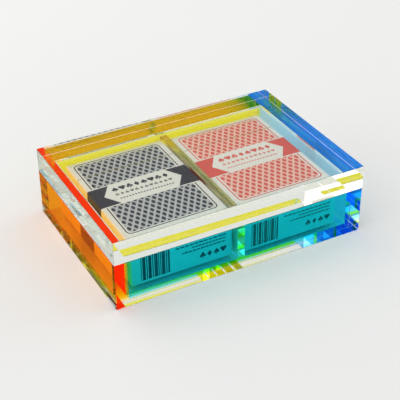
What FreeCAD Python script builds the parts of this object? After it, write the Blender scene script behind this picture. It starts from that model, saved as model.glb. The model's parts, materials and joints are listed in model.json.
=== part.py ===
"""Two-deck playing card box in cast acrylic, with a lift-off lid.

Frame: millimetres, X across the two decks, Y from front to back, +Z up.  The origin is the
middle of the box's underside.

The box is sized from its contents outwards: a card sets its carton, the carton sets its
compartment, and the compartments set the walls, the base plate and the lid.
"""
import FreeCAD, Part
import os

import Sketcher
from FreeCAD import Base

DOC = FreeCAD.newDocument("card_box")

# ---------------------------------------------------------------- driving dimensions
DRIVING = [
    # one playing card, and the pack that it is stacked into
    ("card_width", 63.0),
    ("card_length", 88.0),
    ("card_thick", 0.32),
    ("card_corner", 3.5),
    ("card_count", 54),
    ("card_air", 0.02),           # air film between two cards
    # the folded tuck carton
    ("board_thick", 0.45),
    ("board_fold", 0.30),         # outside radius of a long crease
    ("card_side_room", 0.95),     # card edge to board, each side
    ("card_end_room", 0.10),      # card edge to board, each end
    ("card_top_room", 0.49),      # top card to board
    ("flap_fit", 0.05),           # between boards that slide on each other
    ("flap_side_clear", 0.30),    # end panel set in from the carton's sides
    ("tongue_length", 15.0),
    ("tongue_side_clear", 0.80),
    ("tongue_corner", 7.0),
    ("notch_radius", 9.5),        # thumb notch in the underside
    ("dust_flap_length", 21.0),
    ("dust_flap_taper", 4.0),
    # room round a deck in its compartment
    ("deck_side_room", 6.25),
    ("deck_end_room", 8.0),
    ("deck_head_room", 2.77),     # deck top to the lid's locating plate
    ("left_deck_gap", 0.75),      # left deck to divider
    ("right_deck_gap", 0.25),     # right deck to divider
    ("left_deck_front_gap", 4.9),
    ("right_deck_front_gap", 3.7),
    # acrylic stock
    ("wall_thick", 8.0),
    ("base_thick", 4.7),
    ("divider_thick", 4.9),
    ("divider_offset", 0.55),     # towards the right compartment
    ("divider_rise", 0.87),       # divider top above deck top
    ("lid_thick", 15.4),
    ("plate_thick", 3.0),         # locating plate under the lid
    ("plate_clear", 0.5),         # locating plate to the walls' inner faces
    ("edge_ease", 0.5),           # polished chamfer on the box's outside edges
    ("lid_ease", 0.7),            # polished chamfer on every lid edge
]

# sizes that follow from the driving ones
DERIVED = [
    ("pack_thick", "=card_count * card_thick + (card_count - 1) * card_air"),
    ("carton_width", "=card_width + 2 * (card_side_room + board_thick)"),
    ("carton_length", "=card_length + 2 * (card_end_room + 2 * board_thick)"),
    ("pack_bottom", "=2 * board_thick + 2 * flap_fit"),
    ("carton_height", "=pack_bottom + pack_thick + card_top_room + board_thick"),
    ("compartment_width", "=carton_width + deck_side_room"),
    ("inner_depth", "=carton_length + deck_end_room"),
    ("inner_width", "=2 * compartment_width + divider_thick"),
    ("outer_width", "=inner_width + 2 * wall_thick"),
    ("outer_depth", "=inner_depth + 2 * wall_thick"),
    ("wall_height", "=carton_height + deck_head_room + plate_thick"),
    ("lid_bottom", "=base_thick + wall_height"),
]

SHEET = DOC.addObject("Spreadsheet::Sheet", "Dimensions")
for row, (alias, content) in enumerate(DRIVING + DERIVED, start=1):
    SHEET.set(f"A{row}", alias)
    SHEET.set(f"B{row}", str(content))
    SHEET.setAlias(f"B{row}", alias)
DOC.recompute()

PARTS = []


# ---------------------------------------------------------------- building blocks
def cells(expression):
    """Put the sheet's name in front of every alias in an expression."""
    text = expression
    for alias in sorted((name for name, _ in DRIVING + DERIVED), key=len, reverse=True):
        text = text.replace(alias, f"<<{alias}>>")
    return text.replace("<<", "Dimensions.").replace(">>", "")


def value(expression):
    """An expression's value in millimetres."""
    result = SHEET.evalExpression(cells(expression))
    return float(getattr(result, "Value", result))


def new_body(label, at):
    """A body whose origin is placed by three expressions."""
    body = DOC.addObject("PartDesign::Body", label)
    body.Label = label
    body.Placement = Base.Placement(Base.Vector(*(value(part) for part in at)), Base.Rotation())
    for axis, part in zip("xyz", at):
        body.setExpression(f"Placement.Base.{axis}", cells(part))
    PARTS.append(body)
    return body


def new_sketch(body, plane, offset="0"):
    """A sketch on one of the body's own origin planes, lifted along the plane's normal."""
    support = next(item for item in body.Origin.OriginFeatures if item.Role == plane)
    sketch = body.newObject("Sketcher::SketchObject", f"{body.Label}_profile")
    sketch.AttachmentSupport = [(support, "")]
    sketch.MapMode = "FlatFace"
    sketch.setExpression("AttachmentOffset.Base.z", cells(offset))
    return sketch


def bind(sketch, kind, places, expression):
    """Add a dimension to a sketch and tie it to the sheet."""
    index = sketch.addConstraint(Sketcher.Constraint(kind, *places, value(expression)))
    sketch.setExpression(f"Constraints[{index}]", cells(expression))


def rectangle(sketch, width, height, low_edge=None):
    """A rectangle centred across the sketch's vertical axis.

    It is centred on the origin, or stands with its low edge at low_edge above it.
    """
    half = value(width) / 2
    low = value(low_edge) if low_edge else -value(height) / 2
    high = low + value(height)
    corners = [(-half, low), (half, low), (half, high), (-half, high)]
    first = sketch.GeometryCount
    for start, end in zip(corners, corners[1:] + corners[:1]):
        sketch.addGeometry(Part.LineSegment(Base.Vector(*start, 0), Base.Vector(*end, 0)))
    bottom, right, top, left = range(first, first + 4)
    for one, other in ((bottom, right), (right, top), (top, left), (left, bottom)):
        sketch.addConstraint(Sketcher.Constraint("Coincident", one, 2, other, 1))
    sketch.addConstraint(Sketcher.Constraint("Horizontal", top))
    for line in (right, left):
        sketch.addConstraint(Sketcher.Constraint("Vertical", line))
    bind(sketch, "DistanceX", (bottom, 1, bottom, 2), width)
    bind(sketch, "DistanceY", (right, 1, right, 2), height)
    if low_edge:
        sketch.addConstraint(Sketcher.Constraint("Symmetric", bottom, 1, bottom, 2, -2))
        bind(sketch, "DistanceY", (-1, 1, bottom, 1), low_edge)
    else:
        sketch.addConstraint(Sketcher.Constraint("Horizontal", bottom))
        sketch.addConstraint(Sketcher.Constraint("Symmetric", bottom, 1, top, 1, -1, 1))


def pad(body, sketch, length, reverse=False):
    """Extrude a sketch along its normal, or against it."""
    feature = body.newObject("PartDesign::Pad", f"{body.Label}_pad")
    feature.Profile = sketch
    feature.Length = value(length)
    feature.setExpression("Length", cells(length))
    feature.Reversed = reverse
    DOC.recompute()
    return feature


def pocket(body, sketch, length, reverse=False):
    """Cut a sketch into the body, and make sure that it took material away."""
    before = body.Shape.Volume
    feature = body.newObject("PartDesign::Pocket", f"{body.Label}_pocket")
    feature.Profile = sketch
    feature.Length = value(length)
    feature.setExpression("Length", cells(length))
    feature.Reversed = reverse
    DOC.recompute()
    if not body.Shape.Volume < before:
        raise RuntimeError(f"{feature.Name} cuts nothing")
    return feature


def dress(body, kind, size_name, size, wanted):
    """Chamfer or fillet the edges of the body's last feature that wanted() accepts."""
    base = body.Tip
    names = [f"Edge{number}" for number, edge in enumerate(base.Shape.Edges, start=1)
             if wanted(edge.CenterOfMass, edge.tangentAt(edge.FirstParameter))]
    feature = body.newObject(f"PartDesign::{kind}", f"{body.Label}_{kind.lower()}")
    feature.Base = (base, names)
    setattr(feature, size_name, value(size))
    feature.setExpression(size_name, cells(size))
    DOC.recompute()
    return feature


def slab(label, width, depth, thick, at):
    """A flat piece of sheet, centred on its place and standing on it."""
    body = new_body(label, at)
    profile = new_sketch(body, "XY_Plane")
    rectangle(profile, width, depth)
    pad(body, profile, thick)
    return body


def near(number, target):
    return abs(number - target) < 1e-3


# ---------------------------------------------------------------- acrylic box
def make_base_plate():
    """Clear base plate under the walls, eased along its bottom and upright edges."""
    body = slab("base_plate", "outer_width", "outer_depth", "base_thick", ("0", "0", "0"))
    dress(body, "Chamfer", "Size", "edge_ease",
          lambda centre, along: near(centre.z, 0) or abs(along.z) > 0.5)


def make_side_wall(label, side):
    """Side wall, the full depth of the box, with its ends bare at the front and back."""
    body = slab(label, "wall_thick", "outer_depth", "wall_height",
                (f"{side} * (inner_width + wall_thick) / 2", "0", "base_thick"))
    outside = side * value("wall_thick") / 2
    top = value("wall_height")

    def outer_edge(centre, along):
        upright = abs(along.z) > 0.5 and near(centre.x, outside)
        rim = near(centre.z, top) and not near(centre.x, -outside)
        return upright or rim

    dress(body, "Chamfer", "Size", "edge_ease", outer_edge)


def make_end_panel(label, side):
    """Front or back panel, butted between the side walls."""
    body = slab(label, "inner_width", "wall_thick", "wall_height",
                ("0", f"{side} * (inner_depth + wall_thick) / 2", "base_thick"))
    outside = side * value("wall_thick") / 2
    top = value("wall_height")
    dress(body, "Chamfer", "Size", "edge_ease",
          lambda centre, along: near(centre.z, top) and near(centre.y, outside))


def make_divider():
    """Clear divider between the two compartments, just higher than the decks."""
    slab("divider", "divider_thick", "inner_depth", "carton_height + divider_rise",
         ("divider_offset", "0", "base_thick"))


def make_lid():
    """Thick clear lid, and the thin plate under it that drops inside the walls."""
    lid = slab("lid_slab", "outer_width", "outer_depth", "lid_thick", ("0", "0", "lid_bottom"))
    dress(lid, "Chamfer", "Size", "lid_ease", lambda centre, along: True)
    plate = slab("lid_locating_plate", "inner_width - 2 * plate_clear",
                 "inner_depth - 2 * plate_clear", "plate_thick",
                 ("0", "0", "lid_bottom - plate_thick"))
    dress(plate, "Chamfer", "Size", "edge_ease",
          lambda centre, along: near(centre.z, 0) or abs(along.z) > 0.5)


# ---------------------------------------------------------------- decks
def make_carton(label, at):
    """Tuck carton: a folded sleeve, glued shut at the front, with a thumb notch underneath.

    Its own origin is the middle of the front end's bottom edge, and it runs towards +Y.
    """
    body = new_body(label, at)
    outline = new_sketch(body, "XZ_Plane")
    rectangle(outline, "carton_width", "carton_height", low_edge="0")
    pad(body, outline, "carton_length - board_thick", reverse=True)

    def long_crease(centre, along):
        return abs(along.y) > 0.5

    dress(body, "Fillet", "Radius", "board_fold", long_crease)

    inside = new_sketch(body, "XZ_Plane", "-(carton_length - board_thick)")
    rectangle(inside, "carton_width - 2 * board_thick", "carton_height - 2 * board_thick",
              low_edge="board_thick")
    pocket(body, inside, "carton_length - 3 * board_thick", reverse=True)

    notch = new_sketch(body, "XY_Plane")
    mouth = value("carton_length - board_thick")
    notch.addGeometry(Part.Circle(Base.Vector(0, mouth, 0), Base.Vector(0, 0, 1),
                                  value("notch_radius")))
    notch.addConstraint(Sketcher.Constraint("PointOnObject", 0, 3, -2))
    bind(notch, "DistanceY", (-1, 1, 0, 3), "carton_length - board_thick")
    bind(notch, "Radius", (0,), "notch_radius")
    pocket(body, notch, "board_thick", reverse=True)


def make_tuck_flap(label, at):
    """End panel hinged on the carton's top crease, and its tongue tucked in underneath."""
    body = new_body(label, at)
    panel = new_sketch(body, "XZ_Plane", "-(carton_length - board_thick)")
    rectangle(panel, "carton_width - 2 * flap_side_clear", "carton_height", low_edge="0")
    pad(body, panel, "board_thick", reverse=True)
    tongue = new_sketch(body, "XY_Plane", "board_thick + flap_fit")
    rectangle(tongue, "carton_width - 2 * (board_thick + tongue_side_clear)",
              "tongue_length + board_thick",
              low_edge="carton_length - board_thick - tongue_length")
    pad(body, tongue, "board_thick")
    free_end = value("carton_length - board_thick - tongue_length")
    dress(body, "Fillet", "Radius", "tongue_corner",
          lambda centre, along: abs(along.z) > 0.5 and near(centre.y, free_end))


def make_dust_flap(label, at, side):
    """Side flap folded in behind the end panel, tapered towards its free end."""
    body = new_body(label, at)
    sketch = new_sketch(body, "XZ_Plane", "-(carton_length - 2 * board_thick)")
    crease = side * value("carton_width / 2 - board_thick")
    free = crease - side * value("dust_flap_length")
    low = value("pack_bottom")
    high = value("carton_height - board_thick")
    taper = value("dust_flap_taper")
    corners = [(crease, low), (free, low + taper), (free, high - taper), (crease, high)]
    for start, end in zip(corners, corners[1:] + corners[:1]):
        sketch.addGeometry(Part.LineSegment(Base.Vector(*start, 0), Base.Vector(*end, 0)))
    lower, tip, upper, fold = range(4)
    for one, other in ((lower, tip), (tip, upper), (upper, fold), (fold, lower)):
        sketch.addConstraint(Sketcher.Constraint("Coincident", one, 2, other, 1))
    sketch.addConstraint(Sketcher.Constraint("Vertical", tip))
    sketch.addConstraint(Sketcher.Constraint("Vertical", fold))
    bind(sketch, "DistanceX", (-1, 1, lower, 1), f"{side} * (carton_width / 2 - board_thick)")
    bind(sketch, "DistanceX", (lower, 1, lower, 2), f"{-side} * dust_flap_length")
    bind(sketch, "DistanceY", (-1, 1, lower, 1), "pack_bottom")
    bind(sketch, "DistanceY", (lower, 1, lower, 2), "dust_flap_taper")
    bind(sketch, "DistanceY", (upper, 1, upper, 2), "dust_flap_taper")
    bind(sketch, "DistanceY", (-1, 1, upper, 2), "carton_height - board_thick")
    pad(body, sketch, "board_thick", reverse=True)


def make_cards(label, at):
    """The pack itself: every card a rounded sheet of its own, stacked with a film of air."""
    body = new_body(label, at)
    body.AllowCompound = True
    profile = new_sketch(body, "XY_Plane", "pack_bottom")
    rectangle(profile, "card_width", "card_length", low_edge="2 * board_thick + card_end_room")
    card = pad(body, profile, "card_thick")
    dress(body, "Fillet", "Radius", "card_corner", lambda centre, along: abs(along.z) > 0.5)
    rounded = body.Tip
    upright = next(item for item in body.Origin.OriginFeatures if item.Role == "Z_Axis")
    stack = body.newObject("PartDesign::LinearPattern", f"{label}_stack")
    stack.Originals = [card, rounded]
    stack.Direction = (upright, [""])
    stack.Mode = "Spacing"
    stack.setExpression("Offset", cells("card_thick + card_air"))
    stack.setExpression("Occurrences", cells("card_count"))
    body.Tip = stack
    DOC.recompute()


def make_deck(name, x_place, front_gap):
    """One closed deck, standing on the base plate in its compartment."""
    at = (x_place, f"{front_gap} - inner_depth / 2", "base_thick")
    make_carton(f"{name}_deck_carton", at)
    make_tuck_flap(f"{name}_deck_tuck_flap", at)
    make_dust_flap(f"{name}_deck_dust_flap_left", at, -1)
    make_dust_flap(f"{name}_deck_dust_flap_right", at, 1)
    make_cards(f"{name}_deck_cards", at)


# ---------------------------------------------------------------- assembly and export
def check_and_export():
    """Stop on any failed feature or bad solid, then write one STEP file per sub-part."""
    DOC.recompute()
    for item in DOC.Objects:
        if "Invalid" in item.State or "Error" in item.State:
            raise RuntimeError(f"{item.Name} failed: {item.State}")
    for part in PARTS:
        if part.Shape.isNull() or not part.Shape.isValid():
            raise RuntimeError(f"{part.Label} has no valid solid")
    os.makedirs("parts", exist_ok=True)
    for part in PARTS:
        part.Shape.exportStep(f"parts/{part.Label}.step")


make_base_plate()
make_side_wall("left_wall", -1)
make_side_wall("right_wall", 1)
make_end_panel("front_panel", -1)
make_end_panel("back_panel", 1)
make_divider()
make_lid()
make_deck("left", "divider_offset - (divider_thick + carton_width) / 2 - left_deck_gap",
          "left_deck_front_gap")
make_deck("right", "divider_offset + (divider_thick + carton_width) / 2 + right_deck_gap",
          "right_deck_front_gap")
check_and_export()
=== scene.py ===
"""Two-deck acrylic card box: cast acrylic sheets, two printed tuck cartons, a plain pale table.

Each acrylic sheet is one closed mesh with eased edges, coloured by the light that it takes up
inside.  Where two sheets meet, their faces lose their bend and mirror.  All print on the
cartons and cards is worked out from place on the deck.
"""

import json
import math

import bmesh
import bpy
from mathutils import Matrix, Vector

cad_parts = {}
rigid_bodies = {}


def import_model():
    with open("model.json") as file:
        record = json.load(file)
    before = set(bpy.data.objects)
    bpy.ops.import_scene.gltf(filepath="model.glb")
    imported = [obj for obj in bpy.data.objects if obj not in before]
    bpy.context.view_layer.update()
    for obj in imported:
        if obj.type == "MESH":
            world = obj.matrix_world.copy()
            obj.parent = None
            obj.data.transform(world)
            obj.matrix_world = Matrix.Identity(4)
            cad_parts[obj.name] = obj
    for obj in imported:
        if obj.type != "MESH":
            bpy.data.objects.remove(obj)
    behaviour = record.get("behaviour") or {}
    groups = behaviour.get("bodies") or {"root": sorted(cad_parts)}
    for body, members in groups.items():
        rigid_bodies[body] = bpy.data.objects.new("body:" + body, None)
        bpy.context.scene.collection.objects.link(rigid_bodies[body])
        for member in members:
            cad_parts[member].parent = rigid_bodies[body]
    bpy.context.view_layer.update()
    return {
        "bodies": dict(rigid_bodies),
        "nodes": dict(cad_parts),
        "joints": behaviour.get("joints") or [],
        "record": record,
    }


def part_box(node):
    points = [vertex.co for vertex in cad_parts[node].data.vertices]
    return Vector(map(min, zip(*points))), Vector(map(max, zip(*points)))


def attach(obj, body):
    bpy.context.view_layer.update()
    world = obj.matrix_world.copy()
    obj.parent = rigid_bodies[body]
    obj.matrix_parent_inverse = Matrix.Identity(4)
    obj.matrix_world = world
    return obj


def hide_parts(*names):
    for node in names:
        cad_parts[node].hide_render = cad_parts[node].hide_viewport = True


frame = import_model()

MM = 0.001
ON_PLANE = 1e-6                          # metres within which a point lies on a plane
SQUARE_ON = 0.999                        # least part of a normal along the axis it faces

# ---------------------------------------------------------------- camera
CAMERA_AZIMUTH = math.radians(28.0)      # to the box's left of straight in front
CAMERA_ELEVATION = math.radians(33.35)
CAMERA_ROLL = math.radians(-0.395)
CAMERA_DISTANCE = 646.5 * MM
CAMERA_TARGET = Vector((-4.71, -11.38, 23.29)) * MM
CAMERA_LENS = 95.35                      # on the default 36 mm sensor
CAMERA_CLIP = 10.0 * MM

# ---------------------------------------------------------------- acrylic
ACRYLIC_IOR = 1.49
WELD_FILM = 0.02 * MM                    # solvent film between two welded sheets
AIR_FILM = 0.05 * MM                     # under what only rests
ABSORPTION = {                           # per metre of sheet, for red, green and blue
    "clear": (0.3, 0.1, 0.6),
    # painted light: the divider's straw tint stands in for the yellowish light that reaches it
    # through the yellow back panel
    "straw_tint_painted_light": (7.0, 6.5, 25.0),
    "orange": (5.0, 66.0, 460.0),
    "blue": (84.0, 23.0, 0.5),
    "teal": (400.0, 36.0, 23.0),
    "yellow": (1.0, 11.0, 420.0),
}
PAINTED_GLOW = {                                 # painted glow: light that the orange sheet gives off at each face by emission, standing in for light from its fluorescent dye
    "orange": ((1.0, 0.15, 0.0), 0.09),
}
SHEETS = {                               # node: (colour, edge ease in mm, body)
    "base_plate": ("clear", 0.3, "box"),
    "left_wall": ("orange", 0.3, "box"),
    "right_wall": ("blue", 0.3, "box"),
    "front_panel": ("teal", 0.3, "box"),
    "back_panel": ("yellow", 0.3, "box"),
    # the divider's straw tint is painted yellowish light
    "divider": ("straw_tint_painted_light", 0.2, "box"),
    "lid_slab": ("clear", 0.2, "lid"),
    "lid_locating_plate": ("clear", 0.1, "lid"),
}
WELDS = [                                # the first sheet's whole face is welded to the second
    ("left_wall", "base_plate"),
    ("right_wall", "base_plate"),
    ("front_panel", "base_plate"),
    ("back_panel", "base_plate"),
    ("divider", "base_plate"),
    ("front_panel", "left_wall"),
    ("front_panel", "right_wall"),
    ("back_panel", "left_wall"),
    ("back_panel", "right_wall"),
    ("divider", "front_panel"),
    ("divider", "back_panel"),
    ("lid_locating_plate", "lid_slab"),
]
RESTS = [                                # the lid lies on these with a film of air between
    ("left_wall", "lid_slab"),
    ("right_wall", "lid_slab"),
    ("front_panel", "lid_slab"),
    ("back_panel", "lid_slab"),
]
WELDED, RESTING = 1.0, 0.7               # how far a meeting face loses its own bend and mirror

# ---------------------------------------------------------------- studio
TABLE_HALF = 3.0
TABLE_DROP = 0.02 * MM                   # under the box's own bottom face
TABLE_COLOUR = (0.83, 0.83, 0.82)
TABLE_MIRRORED = 0.06                    # how much of the table the outer faces mirror
SKY = {                                  # brightness towards each side: (low, high) per axis
    "x": (3.4, 2.9),
    "y": (2.1, 1.2),
    "z": (0.0, 0.98),
}
SKY_FOCUS = 4.0                          # how much of it lies close to each axis
WORLD_SEEN = 0.82                        # straight, or through sheets
WORLD_MIRRORED = 0.07                    # in an outer face
WORLD_ONCE = 0.2                         # through sheets, and mirrored once inside them
SOFTBOXES = {                            # name: (towards, metres away, size, power)
    "key_softbox": ((-0.392, 0.7376, 0.62), 1.6, 1.44, 6.4),
}

BOUNCES = {                              # light has to find its way through stacked sheets
    "max_bounces": 48,
    "transmission_bounces": 48,
    "glossy_bounces": 32,
    "diffuse_bounces": 5,
    "transparent_max_bounces": 64,
}

# ---------------------------------------------------------------- board
BOARD = 0.45 * MM
CREASE = 0.8 * MM
FLAP_CREASE = 0.95 * BOARD
CROWN = 0.30 * MM                        # how far the top board bows up in its middle
CROWN_STEPS = ((0, 8), (1, 10))          # strips across and along that follow the bow
NOTCH_RADIUS = 9.5 * MM
TONGUE_RISE = 0.52 * MM                  # the tongue lies on the bottom board
TONGUE_SIDE_CLEAR = 0.9 * MM
TONGUE_CORNER = 7.0 * MM
NOTCH_STEPS = 14
TONGUE_STEPS = 8
FIBRE_SCALE = 1.6                        # per millimetre
FIBRE_DEPTH = 0.03 * MM

# ---------------------------------------------------------------- printing, in millimetres
FACE_REACH = 0.6                         # a face's print goes this far round its crease
PRINT_SHIFT = 1.4                        # the print sits this far towards the tuck end
PRINT_ASIDE = {"left": -0.4, "right": 0.1}   # and this far to the right
FRAME_HALF = (29.0, 40.7)
FRAME_CORNER = 3.0
FRAME_LINE = 0.75
FIELD_INSET = 1.3
LOZENGE_PITCH = (4.4, 7.2)
LOZENGE_SIZE = 0.33                      # of a lattice cell, from its middle
TRELLIS_BAR = 0.10
RIBBON_HALF = 10.25
RIBBON_GAP = 0.9
LABEL_POINT = 25.7                       # from the label's middle to its points
LABEL_SLOPE = 0.644
LABEL_HALF_ROW = 19.2
LABEL_SIGNS = (                          # middle, pitch, height and strength of each row
    (4.7, 4.8, 4.6, 1.0),
    (-0.9, 3.2, 2.8, 0.8),
)
BEAD_ROW = -5.6
BEAD_PITCH = 1.9
BEAD_RADIUS = 0.8
BEAD_HALF_ROW = 18.0
BEAD_STRENGTH = 0.9
END_BARS = ((1.25, 0.27, 0.1), (4.1, 0.17, 0.04))   # pitch, half width in it and softness
END_BARS_MIDDLE = -17.2
END_BARS_HALF = (9.2, 8.0)
END_RULES = ((6.6, -4.0, 3.1), (4.3, 6.5, 2.3), (2.0, 0.0, 2.7))    # height, start and dash
END_RULE_HALF = 0.45
END_DASH = (0.4, 0.08)                   # half the inked share of a dash, and its softness
END_RULE_STOP = 29.0
END_SIGNS_MIDDLE = 20.4
END_SIGNS = (-3.4, 4.6, 4.2, 9.2)        # middle, pitch, height and half row
TAPE_FROM_END = 18.0                     # tear tape of the film wrap
TAPE_WIDTH = 1.0
TAPE_WAVE = 0.11
TAPE_WANDER = 0.35
TAPE_STRENGTH = 0.5
TAPE_GOLD = (0.36, 0.33, 0.08)
CARD_PITCH = 0.34
CARD_FIELD = (28.5, 41.0, 2.5)           # half width, half length and corner of a card's back
CARD_EDGES = ((0.86, 0.85, 0.80), (0.74, 0.73, 0.68))
BOARD_WHITE = (0.83, 0.84, 0.76)
DECK_INKS = {                            # side: (ink, lattice ground, bars between lozenges)
    "left": ((0.045, 0.048, 0.066), (0.44, 0.47, 0.47), (0.60, 0.63, 0.62)),
    "right": ((0.75, 0.125, 0.100), (0.88, 0.49, 0.40), (0.92, 0.66, 0.55)),
}


# ---------------------------------------------------------------- materials
def new_material(name):
    """An empty node material, with its output node."""
    material = bpy.data.materials.new(name)
    material.use_nodes = True
    material.node_tree.nodes.clear()
    output = material.node_tree.nodes.new("ShaderNodeOutputMaterial")
    return material, material.node_tree, output


def acrylic_material(name, absorption, painted_glow):
    """Cast acrylic, coloured by how far light goes in it, and see-through where it is welded. A
    painted glow gives it light of its own by emission.
    """
    material, tree, output = new_material(name)
    glass = tree.nodes.new("ShaderNodeBsdfPrincipled")
    glass.inputs["Base Color"].default_value = (1, 1, 1, 1)
    glass.inputs["Roughness"].default_value = 0.0
    glass.inputs["IOR"].default_value = ACRYLIC_IOR
    glass.inputs["Transmission Weight"].default_value = 1.0
    # painted glow: emission adds light of its own to the sheet's faces, whatever the lamps do
    if painted_glow:
        colour, strength = painted_glow
        glass.inputs["Emission Color"].default_value = (*colour, 1)
        glass.inputs["Emission Strength"].default_value = strength
    contact = tree.nodes.new("ShaderNodeAttribute")
    contact.attribute_name = "contact"
    bend = tree.nodes.new("ShaderNodeMapRange")
    bend.inputs["To Min"].default_value = ACRYLIC_IOR
    bend.inputs["To Max"].default_value = 1.0
    tree.links.new(contact.outputs["Fac"], bend.inputs["Value"])
    tree.links.new(bend.outputs["Result"], glass.inputs["IOR"])
    tree.links.new(glass.outputs["BSDF"], output.inputs["Surface"])
    dye = tree.nodes.new("ShaderNodeVolumeAbsorption")
    density = max(absorption)
    dye.inputs["Density"].default_value = density
    dye.inputs["Color"].default_value = (*(1 - taken / density for taken in absorption), 1)
    tree.links.new(dye.outputs["Volume"], output.inputs["Volume"])
    return material


# ---------------------------------------------------------------- acrylic sheets
def finished_mesh(bm, name):
    """The mesh that a bmesh has become. The bmesh is freed."""
    mesh = bpy.data.meshes.new(name)
    bm.to_mesh(mesh)
    bm.free()
    return mesh


def box_bmesh(low, high):
    """A bmesh of the box between two corners."""
    bm = bmesh.new()
    bmesh.ops.create_cube(bm, size=1.0)
    bmesh.ops.scale(bm, vec=high - low, verts=bm.verts)
    bmesh.ops.translate(bm, vec=(low + high) / 2, verts=bm.verts)
    bm.normal_update()
    return bm


def corners(node):
    """A node's low and high corner."""
    low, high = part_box(node)
    return Vector(low), Vector(high)


def shared_face(node, other):
    """Where two nodes' boxes meet: the axis, which side of node, and the meeting rectangle."""
    low, high = corners(node)
    other_low, other_high = corners(other)
    area_low = Vector(max(pair) for pair in zip(low, other_low))
    area_high = Vector(min(pair) for pair in zip(high, other_high))
    axis = min(range(3), key=lambda k: area_high[k] - area_low[k])
    side = 1 if abs(high[axis] - other_low[axis]) < abs(low[axis] - other_high[axis]) else -1
    return axis, side, area_low, area_high


def meetings(node):
    """Faces that meet another sheet: axis, side, rectangle, contact, and whether this sheet
    is the first of the pair."""
    found = []
    for pairs, contact in ((WELDS, WELDED), (RESTS, RESTING)):
        for first, second in pairs:
            if node in (first, second):
                axis, side, area_low, area_high = shared_face(first, second)
                side = side if node == first else -side
                found.append((axis, side, area_low, area_high, contact, node == first))
    return found


def sheet_mesh(node, ease):
    """A sheet with polished, eased edges. Its faces are marked where they meet another sheet."""
    low, high = corners(node)
    faces_met = meetings(node)
    welded_whole = set()
    for axis, side, area_low, area_high, contact, is_first in faces_met:
        if contact == WELDED and is_first:
            welded_whole.add((axis, side))
            if side > 0:
                high[axis] -= WELD_FILM
            else:
                low[axis] += WELD_FILM
    if node in ("base_plate", "lid_slab"):
        low.z += AIR_FILM

    def is_welded(face):
        axis = max(range(3), key=lambda k: abs(face.normal[k]))
        return (axis, 1 if face.normal[axis] > 0 else -1) in welded_whole

    bm = box_bmesh(low, high)
    free = [edge for edge in bm.edges if not any(is_welded(face) for face in edge.link_faces)]
    bmesh.ops.bevel(bm, geom=free, offset=ease, offset_type="OFFSET", segments=2, profile=0.5,
                    affect="EDGES", material=-1)
    for axis, side, area_low, area_high, contact, is_first in faces_met:
        if is_first:
            continue
        for across in (k for k in range(3) if k != axis):
            for place in (area_low[across], area_high[across]):
                if low[across] + ease < place < high[across] - ease:
                    normal = Vector((0, 0, 0))
                    normal[across] = 1
                    bmesh.ops.bisect_plane(bm, geom=bm.verts[:] + bm.edges[:] + bm.faces[:],
                                           dist=ON_PLANE, plane_co=normal * place,
                                           plane_no=normal)
    bm.normal_update()
    mark = bm.faces.layers.float.new("contact")
    for face in bm.faces:
        middle = face.calc_center_median()
        for axis, side, area_low, area_high, contact, is_first in faces_met:
            plane = high[axis] if side > 0 else low[axis]
            inside = all(area_low[k] - ease < middle[k] < area_high[k] + ease
                         for k in range(3) if k != axis)
            faces_it = side * face.normal[axis] > SQUARE_ON
            if abs(middle[axis] - plane) < ON_PLANE and faces_it and inside:
                face[mark] = max(face[mark], contact)
    return finished_mesh(bm, node)


def add_piece(name, mesh, body, material):
    """Link a mesh as a piece that rides on a body."""
    piece = bpy.data.objects.new(name, mesh)
    bpy.context.scene.collection.objects.link(piece)
    mesh.materials.append(material)
    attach(piece, body)
    return piece


def make_sheets():
    """All acrylic sheets, each in place of its CAD node."""
    materials = {colour: acrylic_material(f"{colour}_acrylic", taken, PAINTED_GLOW.get(colour))
                 for colour, taken in ABSORPTION.items()}
    for node, (colour, ease, body) in SHEETS.items():
        piece = add_piece(f"{node}_sheet", sheet_mesh(node, ease * MM), body, materials[colour])
        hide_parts(node)


# ---------------------------------------------------------------- printing
class Reading:
    """A number that Math nodes work out at each point of a surface."""

    def __init__(self, tree, socket):
        self.tree = tree
        self.socket = socket

    def made(self, operation, *others, clamp=False):
        node = self.tree.nodes.new("ShaderNodeMath")
        node.operation = operation
        node.use_clamp = clamp
        for slot, item in zip(node.inputs, (self, *others)):
            if isinstance(item, Reading):
                self.tree.links.new(item.socket, slot)
            else:
                slot.default_value = item
        return Reading(self.tree, node.outputs[0])

    def __add__(self, other):
        return self.made("ADD", other)

    def __sub__(self, other):
        return self.made("SUBTRACT", other)

    def __mul__(self, other):
        return self.made("MULTIPLY", other)

    def __truediv__(self, other):
        return self.made("DIVIDE", other)

    def __abs__(self):
        return self.made("ABSOLUTE")

    def power(self, exponent):
        return self.made("POWER", exponent)

    def least(self, other):
        return self.made("MINIMUM", other)

    def most(self, other):
        return self.made("MAXIMUM", other)

    def off_whole(self):
        """How far from the nearest whole number: 0 on it, 0.5 halfway."""
        return self.made("PINGPONG", 0.5)

    def below(self, limit, soft=0.12):
        """1 where the number is below the limit and 0 above it, with a soft step."""
        return self.made("MULTIPLY_ADD", -1 / soft, limit / soft + 0.5, clamp=True)

    def above(self, limit, soft=0.12):
        return self.made("MULTIPLY_ADD", 1 / soft, 0.5 - limit / soft, clamp=True)


def length_of(one, other):
    return (one.power(2.0) + other.power(2.0)).made("SQRT")


def round_cornered(across, along, half_width, half_length, radius):
    """Distance outside a round-cornered rectangle, and true down to its radius inside it."""
    beside = (abs(across) - (half_width - radius)).most(0.0)
    beyond = (abs(along) - (half_length - radius)).most(0.0)
    return length_of(beside, beyond) - radius


def disc(x, y, centre_x, centre_y, radius):
    """Distance outside a disc."""
    return length_of(x - centre_x, y - centre_y) - radius


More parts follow.
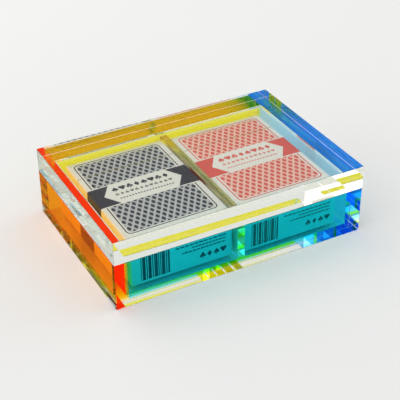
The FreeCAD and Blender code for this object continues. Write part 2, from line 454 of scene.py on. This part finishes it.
def suit_signs(across, along, middle, pitch, height, half_row):
    """A row of spades, hearts, clubs and diamonds in turn: 1 inside a sign.

    Each outline is below 0 inside its sign, on x from the sign's middle line and y up from its
    middle, both in sign heights.
    """
    turn = (across / pitch).made("FLOOR")
    x = abs(across - (turn + 0.5) * pitch) / height
    y = (along - middle) / height
    stem = (x + y * 0.5 + 0.12).most(y).most(y * -1.0 - 0.5)
    heart_tip = (x * 0.78 - y * 0.62 - 0.3).most(y - 0.25)
    heart = disc(x, y, 0.22, 0.2, 0.25).least(heart_tip)
    spade_tip = (x * 0.78 + y * 0.62 - 0.3).most(y * -1.0 - 0.16)
    spade = disc(x, y, 0.2, -0.1, 0.22).least(spade_tip)
    club = disc(x, y, 0.24, -0.1, 0.22).least(disc(x, y, 0.0, 0.25, 0.23))
    diamond = x * 1.35 + abs(y) - 0.5
    suit = (turn / 4.0).made("FRACT")
    drawn = diamond.below(0.0, 0.06)
    for share, sign in ((0.625, club.least(stem)), (0.375, heart), (0.125, spade.least(stem))):
        chosen = suit.below(share, 0.01)
        drawn = chosen * sign.below(0.0, 0.06) + (chosen * -1.0 + 1.0) * drawn
    return drawn * abs(along - middle).below(height * 0.55) * abs(across).below(half_row)


def blend(tree, share, first, second):
    """The first colour where share is 0 and the second where it is 1."""
    mix = tree.nodes.new("ShaderNodeMix")
    mix.data_type = "RGBA"
    tree.links.new(share.socket, mix.inputs[0])
    for slot, colour in ((mix.inputs[6], first), (mix.inputs[7], second)):
        if isinstance(colour, tuple):
            slot.default_value = (*colour, 1)
        else:
            tree.links.new(colour, slot)
    return mix.outputs[2]


def places_on(tree, middle):
    """Across, along and up from a deck's middle, in millimetres, and the same as one vector."""
    coordinates = tree.nodes.new("ShaderNodeTexCoord")
    centred = tree.nodes.new("ShaderNodeMapping")
    centred.inputs["Location"].default_value = -middle / MM
    centred.inputs["Scale"].default_value = (1 / MM, 1 / MM, 1 / MM)
    tree.links.new(coordinates.outputs["Object"], centred.inputs["Vector"])
    parts = tree.nodes.new("ShaderNodeSeparateXYZ")
    tree.links.new(centred.outputs["Vector"], parts.inputs["Vector"])
    return *(Reading(tree, parts.outputs[k]) for k in range(3)), centred.outputs["Vector"]


def lattice(across, along):
    """The back pattern: 1 in its lozenges, and 1 on the pale bars between them."""
    one = (across / LOZENGE_PITCH[0] + along / LOZENGE_PITCH[1]).off_whole()
    other = (across / LOZENGE_PITCH[0] - along / LOZENGE_PITCH[1]).off_whole()
    lozenge = (one.power(3.0) + other.power(3.0)).below(LOZENGE_SIZE ** 3, 0.012)
    bars = one.most(other).above(0.5 - TRELLIS_BAR / 2, 0.03)
    return lozenge, bars


def end_marks(across, up):
    """Plain marks on a carton's end: a block of bars, three broken rules and four suit signs."""
    fine, coarse = ((across / pitch).off_whole().below(half, soft)
                    for pitch, half, soft in END_BARS)
    block = abs(across - END_BARS_MIDDLE).below(END_BARS_HALF[0]) * abs(up).below(END_BARS_HALF[1])
    marks = fine.most(coarse) * block
    for height, start, dash in END_RULES:
        broken = (across / dash).off_whole().below(*END_DASH)
        marks = marks + (broken * abs(up - height).below(END_RULE_HALF)
                         * across.above(start) * across.below(END_RULE_STOP))
    signs = suit_signs(across - END_SIGNS_MIDDLE, up, *END_SIGNS)
    return (marks + signs).least(1.0)


def printed_material(name, middle, half, inks):
    """Varnished white board, printed on its faces and its front end, with the tear tape of a film
    wrap printed on it.
    """
    ink, ground, trellis = inks
    material, tree, output = new_material(name)
    across, along, up, place = places_on(tree, middle)
    half_length, half_height = half.y / MM, half.z / MM
    printed = along - PRINT_SHIFT

    on_face = abs(up).above(half_height - FACE_REACH)
    frame = round_cornered(across, printed, *FRAME_HALF, FRAME_CORNER)
    clear_of_ribbon = abs(printed).above(RIBBON_HALF + RIBBON_GAP) * on_face
    line = abs(frame).below(FRAME_LINE / 2) * clear_of_ribbon
    field = frame.below(-FIELD_INSET) * clear_of_ribbon
    lozenge, bars = lattice(across, printed)

    at_end = abs(along).above(half_length - FACE_REACH)
    ribbon = abs(printed).below(RIBBON_HALF) * (at_end * -1.0 + 1.0)
    label = (abs(across) + abs(printed) * LABEL_SLOPE).below(LABEL_POINT) * on_face * ribbon
    to_bead = (across / BEAD_PITCH).off_whole() * BEAD_PITCH + abs(printed - BEAD_ROW)
    marks = to_bead.below(BEAD_RADIUS) * abs(across).below(BEAD_HALF_ROW) * BEAD_STRENGTH
    for row, pitch, height, strength in LABEL_SIGNS:
        marks = marks + suit_signs(across, printed, row, pitch, height,
                                   LABEL_HALF_ROW) * strength

    colour = blend(tree, field, BOARD_WHITE, ground)
    colour = blend(tree, field * bars, colour, trellis)
    inked = (field * lozenge + line + (ribbon - label) + marks * label
             + end_marks(across, up) * at_end * along.below(0.0)).least(1.0)
    colour = blend(tree, inked, colour, ink)
    wander = (across * TAPE_WAVE).made("SINE") * TAPE_WANDER
    tape = abs(along - (half_length - TAPE_FROM_END) + wander).below(TAPE_WIDTH / 2, 0.3)
    colour = blend(tree, tape * TAPE_STRENGTH, colour, TAPE_GOLD)

    board = tree.nodes.new("ShaderNodeBsdfPrincipled")
    board.inputs["Roughness"].default_value = 0.5
    board.inputs["Specular IOR Level"].default_value = 0.2
    tree.links.new(colour, board.inputs["Base Color"])
    fibre = tree.nodes.new("ShaderNodeTexNoise")
    fibre.inputs["Scale"].default_value = FIBRE_SCALE
    fibre.inputs["Detail"].default_value = 6.0
    tree.links.new(place, fibre.inputs["Vector"])
    relief = tree.nodes.new("ShaderNodeBump")
    relief.inputs["Strength"].default_value = 0.25
    relief.inputs["Distance"].default_value = FIBRE_DEPTH
    tree.links.new(fibre.outputs["Fac"], relief.inputs["Height"])
    tree.links.new(relief.outputs["Normal"], board.inputs["Normal"])
    tree.links.new(board.outputs["BSDF"], output.inputs["Surface"])
    return material


def card_material(name, middle, inks):
    """Cards: white edges that differ a little from card to card, and a lattice on the backs."""
    ink, ground, trellis = inks
    material, tree, output = new_material(name)
    across, along, up, place = places_on(tree, middle)
    back = round_cornered(across, along, *CARD_FIELD).below(0.0)
    lozenge, bars = lattice(across, along)
    each = tree.nodes.new("ShaderNodeTexWhiteNoise")
    each.noise_dimensions = "1D"
    tree.links.new((up / CARD_PITCH).made("FLOOR").socket, each.inputs["W"])
    colour = blend(tree, Reading(tree, each.outputs["Value"]), *CARD_EDGES)
    colour = blend(tree, back, colour, ground)
    colour = blend(tree, back * bars, colour, trellis)
    colour = blend(tree, back * lozenge, colour, ink)
    paper = tree.nodes.new("ShaderNodeBsdfPrincipled")
    paper.inputs["Roughness"].default_value = 0.5
    tree.links.new(colour, paper.inputs["Base Color"])
    tree.links.new(paper.outputs["BSDF"], output.inputs["Surface"])
    return material


# ---------------------------------------------------------------- decks
def carton_mesh(node):
    """Sleeve of folded board, open at the back: rounded creases, crowned top and a thumb notch."""
    low, high = corners(node)
    low.z += AIR_FILM
    middle, half = (low + high) / 2, (high - low) / 2
    bm = box_bmesh(low, high)
    mouth = [face for face in bm.faces if face.normal.y > SQUARE_ON]
    bmesh.ops.delete(bm, geom=mouth, context="FACES_ONLY")
    creases = [edge for edge in bm.edges if not edge.is_boundary]
    bmesh.ops.bevel(bm, geom=creases, offset=CREASE, offset_type="OFFSET", segments=4,
                    profile=0.5, affect="EDGES", material=-1)

    bm.normal_update()
    for axis, steps in CROWN_STEPS:
        for step in range(1, steps):
            top = [face for face in bm.faces if face.normal.z > SQUARE_ON]
            edges = {edge for face in top for edge in face.edges}
            verts = {vert for face in top for vert in face.verts}
            across = Vector((0, 0, 0))
            across[axis] = 1
            place = middle + across * half[axis] * (2 * step / steps - 1)
            bmesh.ops.bisect_plane(bm, geom=[*verts, *edges, *top], dist=ON_PLANE,
                                   plane_co=place, plane_no=across)
    for face in bm.faces:
        face.smooth = face.normal.z > SQUARE_ON
    flat_x, flat_y = half.x - CREASE, half.y - CREASE
    for vert in bm.verts:
        if vert.co.z > high.z - ON_PLANE:
            x = min(abs(vert.co.x - middle.x) / flat_x, 1)
            y = min(abs(vert.co.y - middle.y) / flat_y, 1)
            vert.co.z += CROWN * (1 - x * x) * (1 - y * y)

    cut_notch(bm, Vector((middle.x, high.y, low.z)))
    return finished_mesh(bm, node)


def cut_notch(bm, centre):
    """Replace the bottom board by one with a half-round bite out of its back edge."""
    bottom = next(face for face in bm.faces if face.normal.z < -SQUARE_ON)
    back = next(edge for edge in bottom.edges
                if all(vert.co.y > centre.y - ON_PLANE for vert in edge.verts))
    left, right = sorted(back.verts, key=lambda vert: vert.co.x)
    arc_start = bm.verts.new(centre - Vector((NOTCH_RADIUS, 0, 0)))
    bmesh.ops.spin(bm, geom=[arc_start], cent=centre, axis=(0, 0, 1), angle=math.pi,
                   steps=NOTCH_STEPS, use_duplicate=False)
    arc = [arc_start]
    while True:
        following = [edge.other_vert(arc[-1]) for edge in arc[-1].link_edges]
        following = [vert for vert in following if vert not in arc]
        if not following:
            break
        arc.append(following[0])
    others = [vert for vert in bottom.verts if vert not in (left, right)]
    others.sort(key=lambda vert: -vert.co.x)
    bmesh.ops.delete(bm, geom=[bottom], context="FACES_ONLY")
    bm.edges.remove(back)
    bm.faces.new([left, *arc, right, *others])
    bmesh.ops.recalc_face_normals(bm, faces=bm.faces)


def tuck_flap_mesh(node):
    """End panel with a rounded crease at its top, and its tongue turned in along the bottom."""
    low, high = corners(node)
    tongue_z = low.z + TONGUE_RISE
    bm = bmesh.new()
    path = [Vector((low.x, high.y - BOARD, high.z)), Vector((low.x, high.y, high.z)),
            Vector((low.x, high.y, tongue_z)), Vector((low.x, low.y, tongue_z))]
    verts = [bm.verts.new(place) for place in path]
    for one, other in zip(verts, verts[1:]):
        bm.edges.new((one, other))
    swept = bmesh.ops.extrude_edge_only(bm, edges=bm.edges[:])
    moved = [item for item in swept["geom"] if isinstance(item, bmesh.types.BMVert)]
    bmesh.ops.translate(bm, vec=(high.x - low.x, 0, 0), verts=moved)
    for vert in bm.verts:
        if vert.co.y < low.y + ON_PLANE:
            on_left = vert.co.x < (low.x + high.x) / 2
            vert.co.x += TONGUE_SIDE_CLEAR if on_left else -TONGUE_SIDE_CLEAR
    folds = [edge for edge in bm.edges if len(edge.link_faces) == 2]
    bmesh.ops.bevel(bm, geom=folds, offset=FLAP_CREASE, offset_type="OFFSET", segments=3,
                    profile=0.5, affect="EDGES", material=-1)
    tips = [vert for vert in bm.verts if vert.co.y < low.y + ON_PLANE]
    bmesh.ops.bevel(bm, geom=tips, offset=TONGUE_CORNER, offset_type="OFFSET",
                    segments=TONGUE_STEPS, profile=0.5, affect="VERTICES", material=-1)
    bmesh.ops.recalc_face_normals(bm, faces=bm.faces)
    panel = max(bm.faces, key=lambda face: face.calc_area())
    if panel.normal.y < 0:
        bmesh.ops.reverse_faces(bm, faces=bm.faces)
    return finished_mesh(bm, node)


def give_thickness(piece):
    """Board thickness, inwards from the outer faces."""
    board = piece.modifiers.new("board", "SOLIDIFY")
    board.thickness = BOARD
    board.offset = -1
    board.use_even_offset = True


def make_decks():
    """Both cartons with their tuck flaps, and the materials of the flaps and cards inside."""
    for side, inks in DECK_INKS.items():
        deck = f"{side}_deck"
        low, high = corners(f"{deck}_carton")
        middle, half = (low + high) / 2, (high - low) / 2
        print_middle = middle + Vector((PRINT_ASIDE[side] * MM, 0, 0))
        printed = printed_material(f"{side}_printed_board", print_middle, half, inks)
        for part, shape in (("carton", carton_mesh), ("tuck_flap", tuck_flap_mesh)):
            node = f"{deck}_{part}"
            piece = add_piece(f"{node}_board", shape(node), deck, printed)
            give_thickness(piece)
            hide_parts(node)
        for part in ("dust_flap_left", "dust_flap_right"):
            frame["nodes"][f"{deck}_{part}"].material_slots[0].material = printed
        frame["nodes"][f"{deck}_cards"].material_slots[0].material = \
            card_material(f"{side}_cards", middle, inks)


# ---------------------------------------------------------------- table, light and camera
def make_floor():
    """A matt table that reaches past the picture, dim where the box's outer faces mirror it."""
    bm = bmesh.new()
    bmesh.ops.create_grid(bm, x_segments=1, y_segments=1, size=TABLE_HALF)
    bmesh.ops.translate(bm, vec=(0, 0, -TABLE_DROP), verts=bm.verts)
    mesh = finished_mesh(bm, "table")
    material, tree, output = new_material("table_white")
    paint = tree.nodes.new("ShaderNodeBsdfDiffuse")
    _, outside, _ = ray_kinds(tree)
    mirrored = tuple(TABLE_MIRRORED * part for part in TABLE_COLOUR)
    tree.links.new(blend(tree, outside, TABLE_COLOUR, mirrored), paint.inputs["Color"])
    tree.links.new(paint.outputs["BSDF"], output.inputs["Surface"])
    floor = bpy.data.objects.new("table", mesh)
    mesh.materials.append(material)
    bpy.context.scene.collection.objects.link(floor)


def area_light(name, towards, distance, size, energy):
    """A square softbox that faces the box from a direction."""
    light = bpy.data.lights.new(name, "AREA")
    light.shape = "SQUARE"
    light.size = size
    light.energy = energy
    lamp = bpy.data.objects.new(name, light)
    direction = Vector(towards).normalized()
    lamp.location = direction * distance
    lamp.rotation_euler = direction.to_track_quat("Z", "Y").to_euler()
    bpy.context.scene.collection.objects.link(lamp)


def ray_kinds(tree):
    """Each 1 or 0, and 0 once a ray has been scattered: seen straight or through sheets,
    mirrored in an outer face, and seen through sheets with one mirroring on the way."""
    path = tree.nodes.new("ShaderNodeLightPath")
    direct = Reading(tree, path.outputs["Diffuse Depth"]).below(0.5, 0.1)
    through = Reading(tree, path.outputs["Is Transmission Ray"])
    outside = Reading(tree, path.outputs["Is Glossy Ray"]) * (through * -1.0 + 1.0)
    once = abs(Reading(tree, path.outputs["Glossy Depth"]) - 1.0).below(0.5, 0.1)
    seen = Reading(tree, path.outputs["Is Camera Ray"]).most(through)
    return seen * direct, outside * direct, through * once * direct


def make_light():
    """A world that lights from each side by its own strength, and is seen plain."""
    world = bpy.data.worlds.new("studio")
    world.use_nodes = True
    tree = world.node_tree
    coordinates = tree.nodes.new("ShaderNodeTexCoord")
    towards = tree.nodes.new("ShaderNodeSeparateXYZ")
    tree.links.new(coordinates.outputs["Generated"], towards.inputs["Vector"])
    sides = []
    for output, (low, high) in zip(towards.outputs, SKY.values()):
        along = Reading(tree, output)
        sides.append(along.most(0.0).power(SKY_FOCUS) * high
                     + (along * -1.0).most(0.0).power(SKY_FOCUS) * low)
    sky = sides[0] + sides[1] + sides[2]
    seen, outside, once = ray_kinds(tree)
    lit = seen.most(outside) * -1.0 + 1.0
    strength = (lit * sky + (seen - once) * WORLD_SEEN + once * WORLD_ONCE
                + outside * WORLD_MIRRORED)
    tree.links.new(strength.socket, tree.nodes["Background"].inputs["Strength"])
    tree.nodes["Background"].inputs["Color"].default_value = (1, 1, 1, 1)
    bpy.context.scene.world = world
    for name, (towards, distance, size, energy) in SOFTBOXES.items():
        area_light(name, towards, distance, size, energy)


def make_camera():
    """Camera on the box's front left, looking down on it, turned by its small roll."""
    back = Vector((-math.sin(CAMERA_AZIMUTH) * math.cos(CAMERA_ELEVATION),
                   -math.cos(CAMERA_AZIMUTH) * math.cos(CAMERA_ELEVATION),
                   math.sin(CAMERA_ELEVATION)))
    right = Vector((0, 0, 1)).cross(back).normalized()
    up = back.cross(right)
    turned_right = right * math.cos(CAMERA_ROLL) + up * math.sin(CAMERA_ROLL)
    turned_up = up * math.cos(CAMERA_ROLL) - right * math.sin(CAMERA_ROLL)
    place = CAMERA_TARGET + back * CAMERA_DISTANCE
    camera = bpy.data.objects.new("camera", bpy.data.cameras.new("camera"))
    camera.data.lens = CAMERA_LENS
    camera.data.clip_start = CAMERA_CLIP
    camera.matrix_world = Matrix((
        (turned_right.x, turned_up.x, back.x, place.x),
        (turned_right.y, turned_up.y, back.y, place.y),
        (turned_right.z, turned_up.z, back.z, place.z),
        (0, 0, 0, 1)))
    bpy.context.scene.collection.objects.link(camera)
    bpy.context.scene.camera = camera


def set_light_paths():
    """Long light paths, and no blurring of what they mirror."""
    for setting, count in BOUNCES.items():
        setattr(bpy.context.scene.cycles, setting, count)
    bpy.context.scene.cycles.blur_glossy = 0.0


make_sheets()
make_decks()
make_floor()
make_light()
make_camera()
set_light_paths()
bpy.context.scene.view_settings.view_transform = "Standard"
